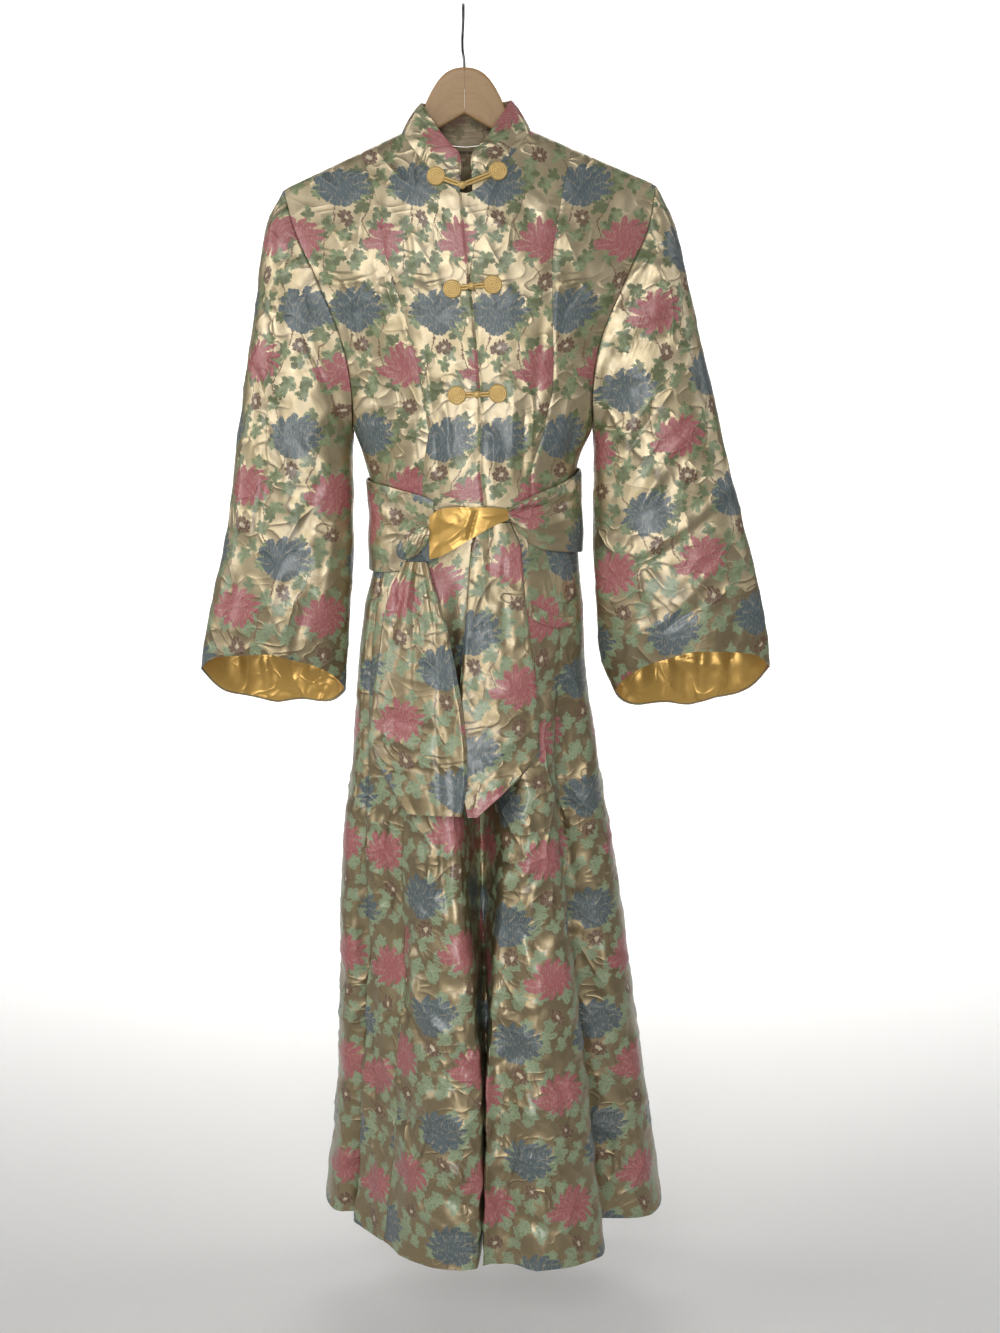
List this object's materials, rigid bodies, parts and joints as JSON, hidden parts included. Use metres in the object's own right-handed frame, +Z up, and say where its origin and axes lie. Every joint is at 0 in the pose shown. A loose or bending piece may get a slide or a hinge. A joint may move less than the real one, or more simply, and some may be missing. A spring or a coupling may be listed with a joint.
{
  "type": "kimono robe on hanger",
  "caption": "Full-length brocade robe with a stand collar, wide sleeves, frog closures and a tie belt, hung on a wooden hanger with a wire hook",
  "frame": {"origin": "top of the inside of the hanger's hook, where a rail carries it", "axes": "+Z up, -Y towards the front of the robe, +X to the right of someone who faces the front"},
  "size_m": [0.722, 0.3233, 1.5532],
  "materials": {
    "brocade": "champagne satin brocade with woven flowers",
    "gold_satin": "golden satin lining",
    "gold_cord": "satin-covered cord",
    "wood": "pale varnished hardwood",
    "steel_wire": "dull steel wire"
  },
  "bodies": {
    "root": {"front_left": "brocade", "front_right": "brocade", "side_front_left": "brocade", "side_front_right": "brocade", "side_back_left": "brocade", "side_back_right": "brocade", "centre_back": "brocade", "collar": "brocade", "sleeve_left": "brocade", "sleeve_right": "brocade", "sleeve_lining_left": "gold_satin", "sleeve_lining_right": "gold_satin", "belt_band": "brocade", "belt_knot": "brocade", "belt_tail_left": "brocade", "belt_tail_right": "brocade", "belt_turn": "gold_satin", "pocket_welt": "brocade", "hang_loop": "brocade", "frog_collar_disc_left": "gold_cord", "frog_collar_disc_right": "gold_cord", "frog_collar_knot": "gold_cord", "frog_collar_cord_left": "gold_cord", "frog_collar_cord_right": "gold_cord", "frog_chest_disc_left": "gold_cord", "frog_chest_disc_right": "gold_cord", "frog_chest_knot": "gold_cord", "frog_chest_cord_left": "gold_cord", "frog_chest_cord_right": "gold_cord", "frog_bust_disc_left": "gold_cord", "frog_bust_disc_right": "gold_cord", "frog_bust_knot": "gold_cord", "frog_bust_cord_left": "gold_cord", "frog_bust_cord_right": "gold_cord", "hanger_arm_left": "wood", "hanger_arm_right": "wood", "hanger_hook": "steel_wire"}
  },
  "joints": []
}
